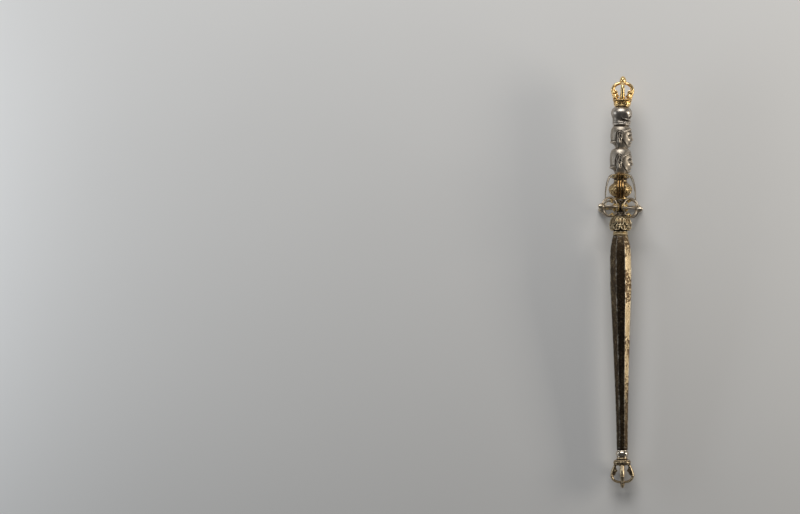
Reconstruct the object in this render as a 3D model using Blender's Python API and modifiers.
"""Ritual sceptre (khatvanga) of inlaid iron, 440 mm long, lying at rest.

Every piece is built upright in the staff's own frame: the axis is Z with the
lower point at Z = 0, the heads look along +X, and -Y is the front. The empty
"staff_rest" then lays the whole staff down, front side up, so that it rests on
two arm tips of the crossed vajra and on one prong of the lower finial.
"""

import math

import bmesh
import bpy
import numpy as np
from mathutils import Matrix, Vector

MM = 0.001

# ---------------------------------------------------------------- dimensions
LENGTH = 440.0 * MM
JOINT = 0.30 * MM  # gap left at every joint between two pieces

# heights of the joints along the staff, from the lower point up
Z_BEAD = 32.4 * MM  # foot of the bead under the shaft
Z_SHAFT = 40.6 * MM  # lower end of the shaft
Z_KNOP = 271.9 * MM  # foot of the lotus knop
Z_CROSS = 289.4 * MM  # foot of the crossed vajra's hub
Z_ARMS = 299.0 * MM  # height of the four arms' axes
Z_VASE = 307.6 * MM  # foot of the vase
Z_HEAD_LOWER = 334.6 * MM
Z_HEAD_UPPER = 362.4 * MM
Z_SKULL = 386.8 * MM
Z_FINIAL = 407.2 * MM

# the staff is slightly bent by hand work: sideways offset of each piece's foot
# and its lean about the front-to-back direction, in degrees (+ leans to +X)
OFFSET_SHAFT_FOOT = 2.0 * MM
LEAN_SHAFT = -0.50
OFFSET_BEAD, LEAN_BEAD = 1.9 * MM, 0.0
OFFSET_FINIAL_LOWER, LEAN_FINIAL_LOWER = 1.7 * MM, -1.0
OFFSET_HEAD_LOWER, LEAN_HEAD_LOWER = 0.2 * MM, 0.4
OFFSET_HEAD_UPPER, LEAN_HEAD_UPPER = 0.5 * MM, 0.9
OFFSET_SKULL, LEAN_SKULL = 1.0 * MM, 1.6
OFFSET_FINIAL_UPPER, LEAN_FINIAL_UPPER = 1.9 * MM, 1.6

# shaft
SHAFT_TOP_WIDTH = 15.0 * MM
SHAFT_MAX_WIDTH = 22.4 * MM
SHAFT_LOW_WIDTH = 11.6 * MM
SHAFT_SHOULDER = 25.0 * MM  # length over which the shoulder swells
SHAFT_BELLY = 30.0 * MM  # length of the widest stretch
SHAFT_TAPER_POWER = 1.4
SHAFT_RING = 3.2 * MM  # height of the turned ring on top of the shaft
SHAFT_RING_R = 7.8 * MM

# half vajras
UPPER_CAGE_R, LOWER_CAGE_R = 12.2 * MM, 12.7 * MM
ARM_CAGE_R = 9.4 * MM
ARM_CAGE_R_FRONT_RIGHT = 10.7 * MM  # this arm's cage is opened a little wider
ARM_REACH = 33.2 * MM  # from the staff's axis to an arm's tip
ARM_CAGE_CENTRE = 15.8 * MM
ARM_CAGE_HALF = 11.2 * MM
HUB_R = 7.2 * MM

ROUND = 20  # sides of a turned piece

# ---------------------------------------------------------------- the scene
for stale in list(bpy.data.objects):
    bpy.data.objects.remove(stale, do_unlink=True)

scene = bpy.context.scene
parts = bpy.data.collections.new("ritual_sceptre")
helpers = bpy.data.collections.new("helpers")
scene.collection.children.link(parts)
scene.collection.children.link(helpers)
helpers.hide_render = True


def material(name, colour, roughness, metallic=1.0):
    made = bpy.data.materials.new(name)
    made.use_nodes = True
    shader = made.node_tree.nodes["Principled BSDF"]
    shader.inputs["Base Color"].default_value = (*colour, 1.0)
    shader.inputs["Roughness"].default_value = roughness
    shader.inputs["Metallic"].default_value = metallic
    return made


GILT = material("gilt_iron", (0.83, 0.56, 0.20), 0.32)
SILVERED = material("silvered_iron", (0.46, 0.45, 0.43), 0.38)
GILT_WORN = material("worn_gilt_iron", (0.52, 0.38, 0.19), 0.45)
DARK = material("dark_iron", (0.17, 0.13, 0.09), 0.48)
INLAID = material("inlaid_iron", (0.40, 0.31, 0.19), 0.42)
SILVER_WIRE = material("silver_inlay", (0.62, 0.60, 0.56), 0.30)

staff = bpy.data.objects.new("staff_rest", None)
parts.objects.link(staff)


# ---------------------------------------------------------------- helpers
def placed(name, mesh, look, collection=parts):
    obj = bpy.data.objects.new(name, mesh)
    collection.objects.link(obj)
    if look is not None:
        mesh.materials.clear()
        mesh.materials.append(look)
    return obj


def baked(obj, name, matrix=None, weld=True):
    """A plain mesh of the object as its modifiers leave it, in the staff's frame."""
    bpy.context.view_layer.update()
    graph = bpy.context.evaluated_depsgraph_get()
    mesh = bpy.data.meshes.new_from_object(obj.evaluated_get(graph))
    mesh.name = name
    mesh.transform(obj.matrix_world)
    if matrix is not None:
        mesh.transform(matrix)
    if weld:
        bm = bmesh.new()
        bm.from_mesh(mesh)
        bmesh.ops.remove_doubles(bm, verts=bm.verts, dist=1e-6)
        bmesh.ops.recalc_face_normals(bm, faces=bm.faces)
        bm.to_mesh(mesh)
        bm.free()
    bpy.data.objects.remove(obj, do_unlink=True)
    made = bpy.data.objects.new(name, mesh)
    helpers.objects.link(made)
    return made


def smooth_profile(knots, steps):
    """Points on a smooth curve through the (radius, height) knots."""
    knots = [Vector(k) for k in knots]
    padded = [2 * knots[0] - knots[1]] + knots + [2 * knots[-1] - knots[-2]]
    points = []
    for i in range(1, len(padded) - 2):
        a, b, c, d = padded[i - 1 : i + 3]
        for k in range(steps):
            t = k / steps
            points.append(
                0.5
                * (
                    2 * b
                    + (c - a) * t
                    + (2 * a - 5 * b + 4 * c - d) * t**2
                    + (3 * b - a - 3 * c + d) * t**3
                )
            )
    points.append(knots[-1])
    return [(max(p[0], 0.0), p[1]) for p in points]


def turned(name, profile, sides=ROUND, matrix=None):
    """A solid of revolution about Z. The profile runs from the top down."""
    profile = [tuple(p) for p in profile]
    if profile[0][0] > 0:
        profile.insert(0, (0.0, profile[0][1]))
    if profile[-1][0] > 0:
        profile.append((0.0, profile[-1][1]))
    mesh = bpy.data.meshes.new(name)
    mesh.from_pydata(
        [(r, 0.0, z) for r, z in profile],
        [(i, i + 1) for i in range(len(profile) - 1)],
        [],
    )
    obj = bpy.data.objects.new(name, mesh)
    helpers.objects.link(obj)
    screw = obj.modifiers.new("turn", "SCREW")
    screw.axis = "Z"
    screw.steps = screw.render_steps = sides
    screw.use_merge_vertices = True
    screw.merge_threshold = 1e-6
    return baked(obj, name, matrix)


def rod(name, points, radii, sides_step=2, matrix=None):
    """A tapered round rod through the points, with closed ends."""
    curve = bpy.data.curves.new(name, "CURVE")
    curve.dimensions = "3D"
    curve.bevel_depth = 1.0
    curve.bevel_resolution = sides_step
    curve.use_fill_caps = True
    spline = curve.splines.new("POLY")
    spline.points.add(len(points) - 1)
    for point, where, radius in zip(spline.points, points, radii):
        point.co = (*where, 1.0)
        point.radius = radius
    obj = bpy.data.objects.new(name, curve)
    helpers.objects.link(obj)
    return baked(obj, name, matrix)


def ball(name, centre, radii, segments=16, rings=10, matrix=None):
    mesh = bpy.data.meshes.new(name)
    bm = bmesh.new()
    bmesh.ops.create_uvsphere(bm, u_segments=segments, v_segments=rings, radius=1.0)
    bm.to_mesh(mesh)
    bm.free()
    mesh.transform(Matrix.Translation(centre) @ Matrix.Diagonal((*radii, 1.0)))
    obj = bpy.data.objects.new(name, mesh)
    helpers.objects.link(obj)
    return baked(obj, name, matrix)


def block(name, centre, size, matrix=None):
    mesh = bpy.data.meshes.new(name)
    bm = bmesh.new()
    bmesh.ops.create_cube(bm, size=1.0)
    bm.to_mesh(mesh)
    bm.free()
    mesh.transform(Matrix.Translation(centre) @ Matrix.Diagonal((*size, 1.0)))
    obj = bpy.data.objects.new(name, mesh)
    helpers.objects.link(obj)
    return baked(obj, name, matrix)


def combined(name, base, others, operation="UNION"):
    """One closed body: base joined with, or cut by, each of the others."""
    for other in others:
        step = base.modifiers.new(operation.lower(), "BOOLEAN")
        step.operation = operation
        step.solver = "EXACT"
        step.object = other
    made = baked(base, name, weld=False)
    for other in others:
        bpy.data.objects.remove(other, do_unlink=True)
    return made


def piece(obj, name, look, foot, offset=0.0, lean=0.0, sharp=35.0):
    """Puts a finished mesh on the staff as one named piece."""
    mesh = obj.data
    bpy.data.objects.remove(obj, do_unlink=True)
    mesh.name = name
    node = placed(name, mesh, look)
    mesh.shade_smooth()
    mesh.set_sharp_from_angle(angle=math.radians(sharp))
    node.parent = staff
    node.location = (offset, 0.0, foot)
    node.rotation_euler = (0.0, math.radians(lean), 0.0)
    return node


def about_z(degrees):
    return Matrix.Rotation(math.radians(degrees), 4, "Z")


# ---------------------------------------------------------------- half vajra
def cage_prong(name, route, radii, azimuth, matrix=None):
    """One outer prong: route holds (radius, height) along the vajra's axis."""
    placed_at = about_z(azimuth)
    if matrix is not None:
        placed_at = matrix @ placed_at
    return rod(name, [(r, 0.0, z) for r, z in route], radii, 0, placed_at)


def half_vajra(name, collar, route_knots, jaw_at, z_foot, z_join, z_tip, thick, bead_r):
    """Collar, four curved outer prongs, a straight central prong and a point.

    The vajra points up. route_knots are (radius, height) knots of an outer
    prong's centre line, from the collar to where it meets the central prong at
    z_join; z_tip is the point and jaw_at the (radius, height) of the swelling
    on each prong's inner side, a monster's head that holds the prong."""
    body = turned(name, collar, 20)
    core = smooth_profile(
        [
            (0.0, z_tip),
            (0.45 * bead_r, z_tip - 0.25 * (z_tip - z_join)),
            (bead_r, z_join + 0.30 * (z_tip - z_join)),
            (0.85 * bead_r, z_join - 0.4 * MM),
            (0.50 * bead_r, z_join - 2.6 * MM),
            (0.50 * bead_r, z_foot + 4.0 * MM),
            (0.75 * bead_r, z_foot - 1.0 * MM),
        ],
        1,
    )
    others = [turned(name + "_core", core, 10)]
    route = smooth_profile(route_knots, 1)
    radii = [thick * (1.2 - 0.5 * k / (len(route) - 1)) for k in range(len(route))]
    for i in range(4):
        others.append(
            cage_prong(f"{name}_prong{i}", route, radii, 90.0 * i + 0.7)
        )
        others.append(
            ball(
                f"{name}_jaw{i}",
                (jaw_at[0], 0.0, jaw_at[1]),
                (1.2 * thick, 1.15 * thick, 2.3 * thick),
                6,
                5,
                about_z(90.0 * i + 0.3),
            )
        )
    return combined(name, body, others)


upper_collar = smooth_profile(
    [
        (8.9 * MM, 7.6 * MM),
        (10.1 * MM, 7.0 * MM),
        (9.9 * MM, 6.2 * MM),
        (8.9 * MM, 4.6 * MM),
        (8.9 * MM, 2.0 * MM),
        (8.2 * MM, 0.0),
    ],
    1,
)
piece(
    half_vajra(
        "finial_upper",
        upper_collar,
        [
            (8.3 * MM, 6.6 * MM),
            (UPPER_CAGE_R - 2.3 * MM, 11.4 * MM),
            (UPPER_CAGE_R - 1.6 * MM, 16.6 * MM),
            (UPPER_CAGE_R - 3.0 * MM, 21.2 * MM),
            (6.0 * MM, 24.4 * MM),
            (2.9 * MM, 26.2 * MM),
            (1.0 * MM, 26.8 * MM),
        ],
        (UPPER_CAGE_R - 3.4 * MM, 12.6 * MM),
        7.4 * MM,
        26.4 * MM,
        LENGTH - Z_FINIAL,
        1.75 * MM,
        3.2 * MM,
    ),
    "finial_upper",
    GILT,
    Z_FINIAL,
    OFFSET_FINIAL_UPPER,
    LEAN_FINIAL_UPPER,
)

lower_collar = smooth_profile(
    [
        (8.2 * MM, 8.0 * MM),
        (9.1 * MM, 7.2 * MM),
        (8.6 * MM, 5.0 * MM),
        (7.4 * MM, 2.6 * MM),
        (6.0 * MM, 2.0 * MM),
        (5.9 * MM, 0.0),
    ],
    1,
)
lower = half_vajra(
    "finial_lower",
    lower_collar,
    [
        (7.4 * MM, 6.6 * MM),
        (9.5 * MM, 11.4 * MM),
        (LOWER_CAGE_R - 1.7 * MM, 16.0 * MM),
        (LOWER_CAGE_R - 1.2 * MM, 19.4 * MM),
        (10.2 * MM, 22.6 * MM),
        (6.6 * MM, 25.2 * MM),
        (1.0 * MM, 26.6 * MM),
    ],
    (LOWER_CAGE_R - 3.7 * MM, 12.0 * MM),
    7.8 * MM,
    26.4 * MM,
    Z_BEAD - JOINT,
    1.5 * MM,
    2.2 * MM,
)
lower.data.transform(Matrix.Rotation(math.pi, 4, "X"))
piece(
    lower,
    "finial_lower",
    SILVER_WIRE,
    Z_BEAD - JOINT,
    OFFSET_FINIAL_LOWER,
    LEAN_FINIAL_LOWER,
)

# ---------------------------------------------------------------- bead
bead_h = Z_SHAFT - JOINT - Z_BEAD
piece(
    turned(
        "bead_lower",
        smooth_profile(
            [
                (5.3 * MM, bead_h),
                (6.3 * MM, 0.85 * bead_h),
                (6.95 * MM, 0.52 * bead_h),
                (6.3 * MM, 0.2 * bead_h),
                (5.6 * MM, 0.0),
            ],
            1,
        ),
        20,
    ),
    "bead_lower",
    SILVER_WIRE,
    Z_BEAD,
    OFFSET_BEAD,
    LEAN_BEAD,
)

# ---------------------------------------------------------------- shaft
shaft_h = Z_KNOP - JOINT - Z_SHAFT
octagon_h = shaft_h - SHAFT_RING


def shaft_width(z):
    """Width across the flats at a height above the shaft's foot."""
    down = octagon_h - z
    if down < SHAFT_SHOULDER:
        swell = math.sin(0.5 * math.pi * down / SHAFT_SHOULDER) ** 0.85
        return SHAFT_TOP_WIDTH + (SHAFT_MAX_WIDTH - SHAFT_TOP_WIDTH) * swell
    if down < SHAFT_SHOULDER + SHAFT_BELLY:
        return SHAFT_MAX_WIDTH
    left = z / (octagon_h - SHAFT_SHOULDER - SHAFT_BELLY)
    return SHAFT_LOW_WIDTH + (SHAFT_MAX_WIDTH - SHAFT_LOW_WIDTH) * (
        left**SHAFT_TAPER_POWER
    )


shaft_stations = [octagon_h - SHAFT_SHOULDER * (k / 6) for k in range(7)]
taper_top = octagon_h - SHAFT_SHOULDER - SHAFT_BELLY
shaft_stations += [taper_top * (1 - k / 8) for k in range(9)]
corner = 1 / math.cos(math.pi / 8)  # corner radius of an octagon over its half width
shaft_body = turned(
    "shaft_body",
    [(0.5 * shaft_width(z) * corner, z) for z in shaft_stations],
    8,
    about_z(22.5),
)
shaft_ring = turned(
    "shaft_ring",
    [
        (SHAFT_RING_R - 0.7 * MM, shaft_h),
        (SHAFT_RING_R, shaft_h - 0.6 * MM),
        (SHAFT_RING_R, shaft_h - SHAFT_RING + 0.8 * MM),
        (SHAFT_RING_R - 0.7 * MM, shaft_h - SHAFT_RING - 0.2 * MM),
    ],
    20,
)
piece(
    combined("shaft", shaft_body, [shaft_ring]),
    "shaft",
    INLAID,
    Z_SHAFT,
    OFFSET_SHAFT_FOOT,
    LEAN_SHAFT,
    20.0,
)

# ---------------------------------------------------------------- lotus knop
knop_h = Z_CROSS - JOINT - Z_KNOP
knop = turned(
    "knop_core",
    smooth_profile(
        [
            (8.4 * MM, knop_h),
            (10.6 * MM, knop_h - 1.6 * MM),
            (11.5 * MM, 0.66 * knop_h),
            (11.0 * MM, 0.36 * knop_h),
            (9.0 * MM, 0.14 * knop_h),
            (7.6 * MM, 0.0),
        ],
        1,
    ),
)
petals = []
PETALS = 8
for i in range(PETALS):
    turn = about_z(360.0 * (i + 0.5) / PETALS)
    petals.append(
        ball(
            f"petal{i}",
            (8.4 * MM, 0.0, 0.52 * knop_h),
            (3.95 * MM, 4.1 * MM, 6.2 * MM),
            8,
            6,
            turn,
        )
    )
piece(combined("lotus_knop", knop, petals), "lotus_knop", GILT_WORN, Z_KNOP)

# ---------------------------------------------------------------- crossed vajra
hub_h = Z_VASE - JOINT - Z_CROSS
arm_z = Z_ARMS - Z_CROSS
hub = turned(
    "hub",
    smooth_profile(
        [
            (6.6 * MM, hub_h),
            (6.9 * MM, hub_h - 2.0 * MM),
            (5.8 * MM, hub_h - 4.0 * MM),
            (HUB_R, arm_z),
            (5.8 * MM, 4.0 * MM),
            (7.4 * MM, 2.0 * MM),
            (7.8 * MM, 0.0),
        ],
        1,
    ),
    16,
)
arm_pieces = []
ARMS = (
    ("fr", -45.7, ARM_CAGE_R_FRONT_RIGHT),
    ("fl", -134.6, ARM_CAGE_R),
    ("br", 45.4, ARM_CAGE_R),
    ("bl", 135.5, ARM_CAGE_R),
)
for arm, azimuth, cage_r in ARMS:
    # the arm is built along +Z and then laid along its azimuth
    lay = (
        Matrix.Translation((0.0, 0.0, arm_z))
        @ about_z(azimuth)
        @ Matrix.Rotation(math.pi / 2, 4, "Y")
    )
    core = smooth_profile(
        [
            (0.0, ARM_REACH),
            (1.1 * MM, ARM_REACH - 1.6 * MM),
            (1.9 * MM, ARM_REACH - 4.4 * MM),
            (2.5 * MM, ARM_REACH - 7.0 * MM),
            (1.7 * MM, ARM_REACH - 10.0 * MM),
            (1.5 * MM, 13.0 * MM),
            (3.3 * MM, 10.4 * MM),
            (4.3 * MM, 7.6 * MM),
            (3.8 * MM, 4.6 * MM),
        ],
        1,
    )
    arm_core = turned(f"arm_{arm}", core, 8, lay)
    prongs = []
    route, radii = [], []
    steps = 7
    for k in range(steps):
        t = k / (steps - 1)
        angle = math.radians(28.0 + 140.0 * t)
        route.append(
            (
                (cage_r - 1.0 * MM) * math.sin(angle),
                ARM_CAGE_CENTRE - ARM_CAGE_HALF * math.cos(angle),
            )
        )
        radii.append((1.35 - 0.45 * t) * MM)
    for i in range(4):
        prongs.append(
            cage_prong(f"arm_{arm}_prong{i}", route, radii, 90.0 * i + 0.6, lay)
        )
        prongs.append(
            ball(
                f"arm_{arm}_jaw{i}",
                (cage_r - 2.5 * MM, 0.0, ARM_CAGE_CENTRE - 2.4 * MM),
                (1.7 * MM, 1.6 * MM, 2.8 * MM),
                6,
                4,
                lay @ about_z(90.0 * i),
            )
        )
    arm_pieces.append(combined(f"arm_{arm}", arm_core, prongs))
piece(combined("crossed_vajra", hub, arm_pieces), "crossed_vajra", DARK, Z_CROSS)

# ---------------------------------------------------------------- vase
vase_h = Z_HEAD_LOWER - JOINT - Z_VASE
vase_body = turned(
    "vase_body",
    smooth_profile(
        [
            (9.6 * MM, vase_h),
            (10.4 * MM, vase_h - 0.9 * MM),
            (10.3 * MM, vase_h - 3.2 * MM),
            (8.0 * MM, vase_h - 4.6 * MM),
            (7.3 * MM, vase_h - 7.0 * MM),
            (9.0 * MM, vase_h - 10.4 * MM),
            (11.7 * MM, 13.4 * MM),
            (12.5 * MM, 10.6 * MM),
            (11.0 * MM, 6.8 * MM),
            (7.6 * MM, 3.4 * MM),
            (6.8 * MM, 1.6 * MM),
            (7.0 * MM, 0.0),
        ],
        1,
    ),
)
# a pleated scarf strip lies over the front and over the back of the vase
drapes = []
SCARF_FOLDS = 3
SCARF_PITCH = 2.5 * MM
for side, azimuth in (("front", -90.0), ("back", 90.0)):
    route = smooth_profile(
        [
            (10.0 * MM, vase_h - 1.4 * MM),
            (8.6 * MM, vase_h - 6.8 * MM),
            (11.2 * MM, 13.8 * MM),
            (11.6 * MM, 9.4 * MM),
            (9.0 * MM, 4.4 * MM),
            (7.9 * MM, 1.0 * MM),
        ],
        1,
    )
    for k in range(SCARF_FOLDS):
        across = (k - 0.5 * (SCARF_FOLDS - 1)) * SCARF_PITCH
        drapes.append(
            rod(
                f"scarf_{side}{k}",
                [(r - 0.05 * k * MM, across, z) for r, z in route],
                [1.55 * MM] * len(route),
                1,
                about_z(azimuth),
            )
        )
piece(combined("vase", vase_body, drapes), "vase", GILT_WORN, Z_VASE)

# ---------------------------------------------------------------- ribbons
# each runs from beside the vase's lip out and down onto the top prong of an arm
for arm, azimuth, cage_r in ARMS:
    reach = 22.3 * MM
    land = cage_r - ARM_CAGE_R  # the wider cage lifts the ribbon's end
    route = smooth_profile(
        [
            (11.4 * MM, Z_VASE + vase_h - 1.9 * MM),
            (13.6 * MM, Z_VASE + vase_h - 1.0 * MM),
            (16.6 * MM, Z_VASE + vase_h - 3.0 * MM),
            (19.4 * MM, Z_VASE + vase_h - 7.6 * MM),
            (21.2 * MM, Z_VASE + vase_h - 13.0 * MM),
            (reach, Z_VASE + vase_h - 19.0 * MM),
            (reach + 0.2 * MM, Z_ARMS + 8.9 * MM + land),
        ],
        2,
    )
    strip = rod(
        f"ribbon_{arm}",
        [(r, 0.0, z) for r, z in route],
        [0.80 * MM] * len(route),
        0,
        about_z(azimuth),
    )
    piece(strip, f"ribbon_{arm}", SILVER_WIRE, 0.0)


# ---------------------------------------------------------------- heads
def head(name, height, wide):
    """A calm, plain head looking along +X. It is as full as a barrel, since it
    also carries the pieces above it; the neck shows only at the nape."""
    up = height
    squash = Matrix.Diagonal((1.0, 0.95, 1.0, 1.0))
    barrel = turned(
        name,
        smooth_profile(
            [
                (0.60 * wide, up),
                (0.72 * wide, up - 0.6 * MM),
                (0.90 * wide, 0.86 * up),
                (1.00 * wide, 0.66 * up),
                (1.00 * wide, 0.40 * up),
                (0.95 * wide, 0.17 * up),
                (0.80 * wide, 0.05 * up),
                (0.72 * wide, 0.0),
            ],
            1,
        ),
        20,
        squash,
    )
    cuts = [
        # the hollow of the nape under the hair
        block(
            name + "_nape_cut",
            (-11.4 * MM, 0.0, 0.06 * up),
            (8.0 * MM, 24.0 * MM, 0.16 * up),
        ),
    ]
    for side in (-1, 1):
        # eye socket and the hollow of the cheek beside the mouth
        cuts.append(
            ball(
                f"{name}_socket{side}",
                (10.9 * MM, side * 3.9 * MM, 0.555 * up),
                (1.9 * MM, 2.5 * MM, 1.5 * MM),
                8,
                6,
            )
        )
        cuts.append(
            ball(
                f"{name}_hollow{side}",
                (9.6 * MM, side * 6.6 * MM, 0.27 * up),
                (2.0 * MM, 2.4 * MM, 3.0 * MM),
                8,
                6,
            )
        )
    cut = combined(name, barrel, cuts, "DIFFERENCE")
    others = [
        rod(
            name + "_nose",
            [
                (9.6 * MM, 0.0, 0.62 * up),
                (10.2 * MM, 0.0, 0.52 * up),
                (10.9 * MM, 0.0, 0.43 * up),
                (9.8 * MM, 0.0, 0.38 * up),
            ],
            [0.7 * MM, 0.9 * MM, 1.3 * MM, 1.0 * MM],
            1,
        ),
        ball(
            name + "_lips",
            (10.0 * MM, 0.0, 0.29 * up),
            (0.9 * MM, 2.3 * MM, 0.85 * MM),
            8,
            6,
        ),
        ball(
            name + "_chin",
            (8.9 * MM, 0.0, 0.16 * up),
            (1.5 * MM, 2.8 * MM, 1.7 * MM),
            8,
            6,
        ),
        # rolled edge of the hair at the nape
        rod(
            name + "_nape",
            [
                (-6.6 * MM, -6.9 * MM, 0.18 * up),
                (-9.3 * MM, -2.8 * MM, 0.18 * up),
                (-9.3 * MM, 2.8 * MM, 0.18 * up),
                (-6.6 * MM, 6.9 * MM, 0.18 * up),
            ],
            [1.1 * MM, 1.3 * MM, 1.3 * MM, 1.1 * MM],
            1,
        ),
    ]
    for side in (-1, 1):
        others.append(
            ball(
                f"{name}_ear{side}",
                (-1.4 * MM, side * 9.6 * MM, 0.50 * up),
                (2.3 * MM, 1.5 * MM, 0.25 * up),
                8,
                8,
            )
        )
    return combined(name, cut, others)


piece(
    head("head_lower", Z_HEAD_UPPER - JOINT - Z_HEAD_LOWER, 11.2 * MM),
    "head_lower",
    SILVERED,
    Z_HEAD_LOWER,
    OFFSET_HEAD_LOWER,
    LEAN_HEAD_LOWER,
)
piece(
    head("head_upper", Z_SKULL - JOINT - Z_HEAD_UPPER, 10.9 * MM),
    "head_upper",
    SILVERED,
    Z_HEAD_UPPER,
    OFFSET_HEAD_UPPER,
    LEAN_HEAD_UPPER,
)

# ---------------------------------------------------------------- skull
skull_h = Z_FINIAL - JOINT - Z_SKULL
cranium = turned(
    "skull_body",
    smooth_profile(
        [
            (8.6 * MM, skull_h),
            (10.5 * MM, skull_h - 1.5 * MM),
            (11.4 * MM, skull_h - 4.2 * MM),
            (11.3 * MM, skull_h - 7.0 * MM),
            (10.0 * MM, skull_h - 10.2 * MM),
            (8.3 * MM, 6.8 * MM),
            (8.2 * MM, 5.2 * MM),
            (9.4 * MM, 3.0 * MM),
            (9.7 * MM, 1.3 * MM),
            (9.2 * MM, 0.0),
        ],
        1,
    ),
    20,
)
sockets = []
for side in (-1, 1):
    sockets.append(
        ball(
            f"skull_socket{side}",
            (9.4 * MM, side * 3.7 * MM, 8.4 * MM),
            (2.2 * MM, 2.2 * MM, 2.2 * MM),
            8,
            6,
        )
    )
sockets.append(
    ball(
        "skull_nose",
        (8.9 * MM, 0.0, 5.4 * MM),
        (1.6 * MM, 1.1 * MM, 1.3 * MM),
        8,
        6,
    )
)
piece(
    combined("skull", cranium, sockets, "DIFFERENCE"),
    "skull",
    SILVERED,
    Z_SKULL,
    OFFSET_SKULL,
    LEAN_SKULL,
)

# ---------------------------------------------------------------- lying down
# The staff lies front side up. Its tilt is the one at which the lowest points
# of the crossed vajra and of the lower finial touch the ground together.
bpy.context.view_layer.update()


def staff_points(names):
    found = []
    for name in names:
        node = bpy.data.objects[name]
        points = np.empty(len(node.data.vertices) * 3)
        node.data.vertices.foreach_get("co", points)
        matrix = np.array(node.matrix_world)
        found.append(points.reshape(-1, 3) @ matrix[:3, :3].T + matrix[:3, 3])
    return np.concatenate(found)


def heights(points, tilt):
    turn = -0.5 * math.pi + tilt
    return points[:, 1] * math.sin(turn) + points[:, 2] * math.cos(turn)


arms_cloud = staff_points(["crossed_vajra"])
foot_cloud = staff_points(["finial_lower"])
low, high = 0.0, math.radians(10.0)
for _ in range(60):
    middle = 0.5 * (low + high)
    if heights(arms_cloud, middle).min() < heights(foot_cloud, middle).min():
        low = middle
    else:
        high = middle
rest_tilt = 0.5 * (low + high)
staff.rotation_euler = (-0.5 * math.pi + rest_tilt, 0.0, 0.0)
bpy.context.view_layer.update()
everything = staff_points([node.name for node in parts.objects if node.type == "MESH"])
middle_point = 0.5 * (everything.min(axis=0) + everything.max(axis=0))
staff.location = (-middle_point[0], -middle_point[1], -everything[:, 2].min())
bpy.context.view_layer.update()
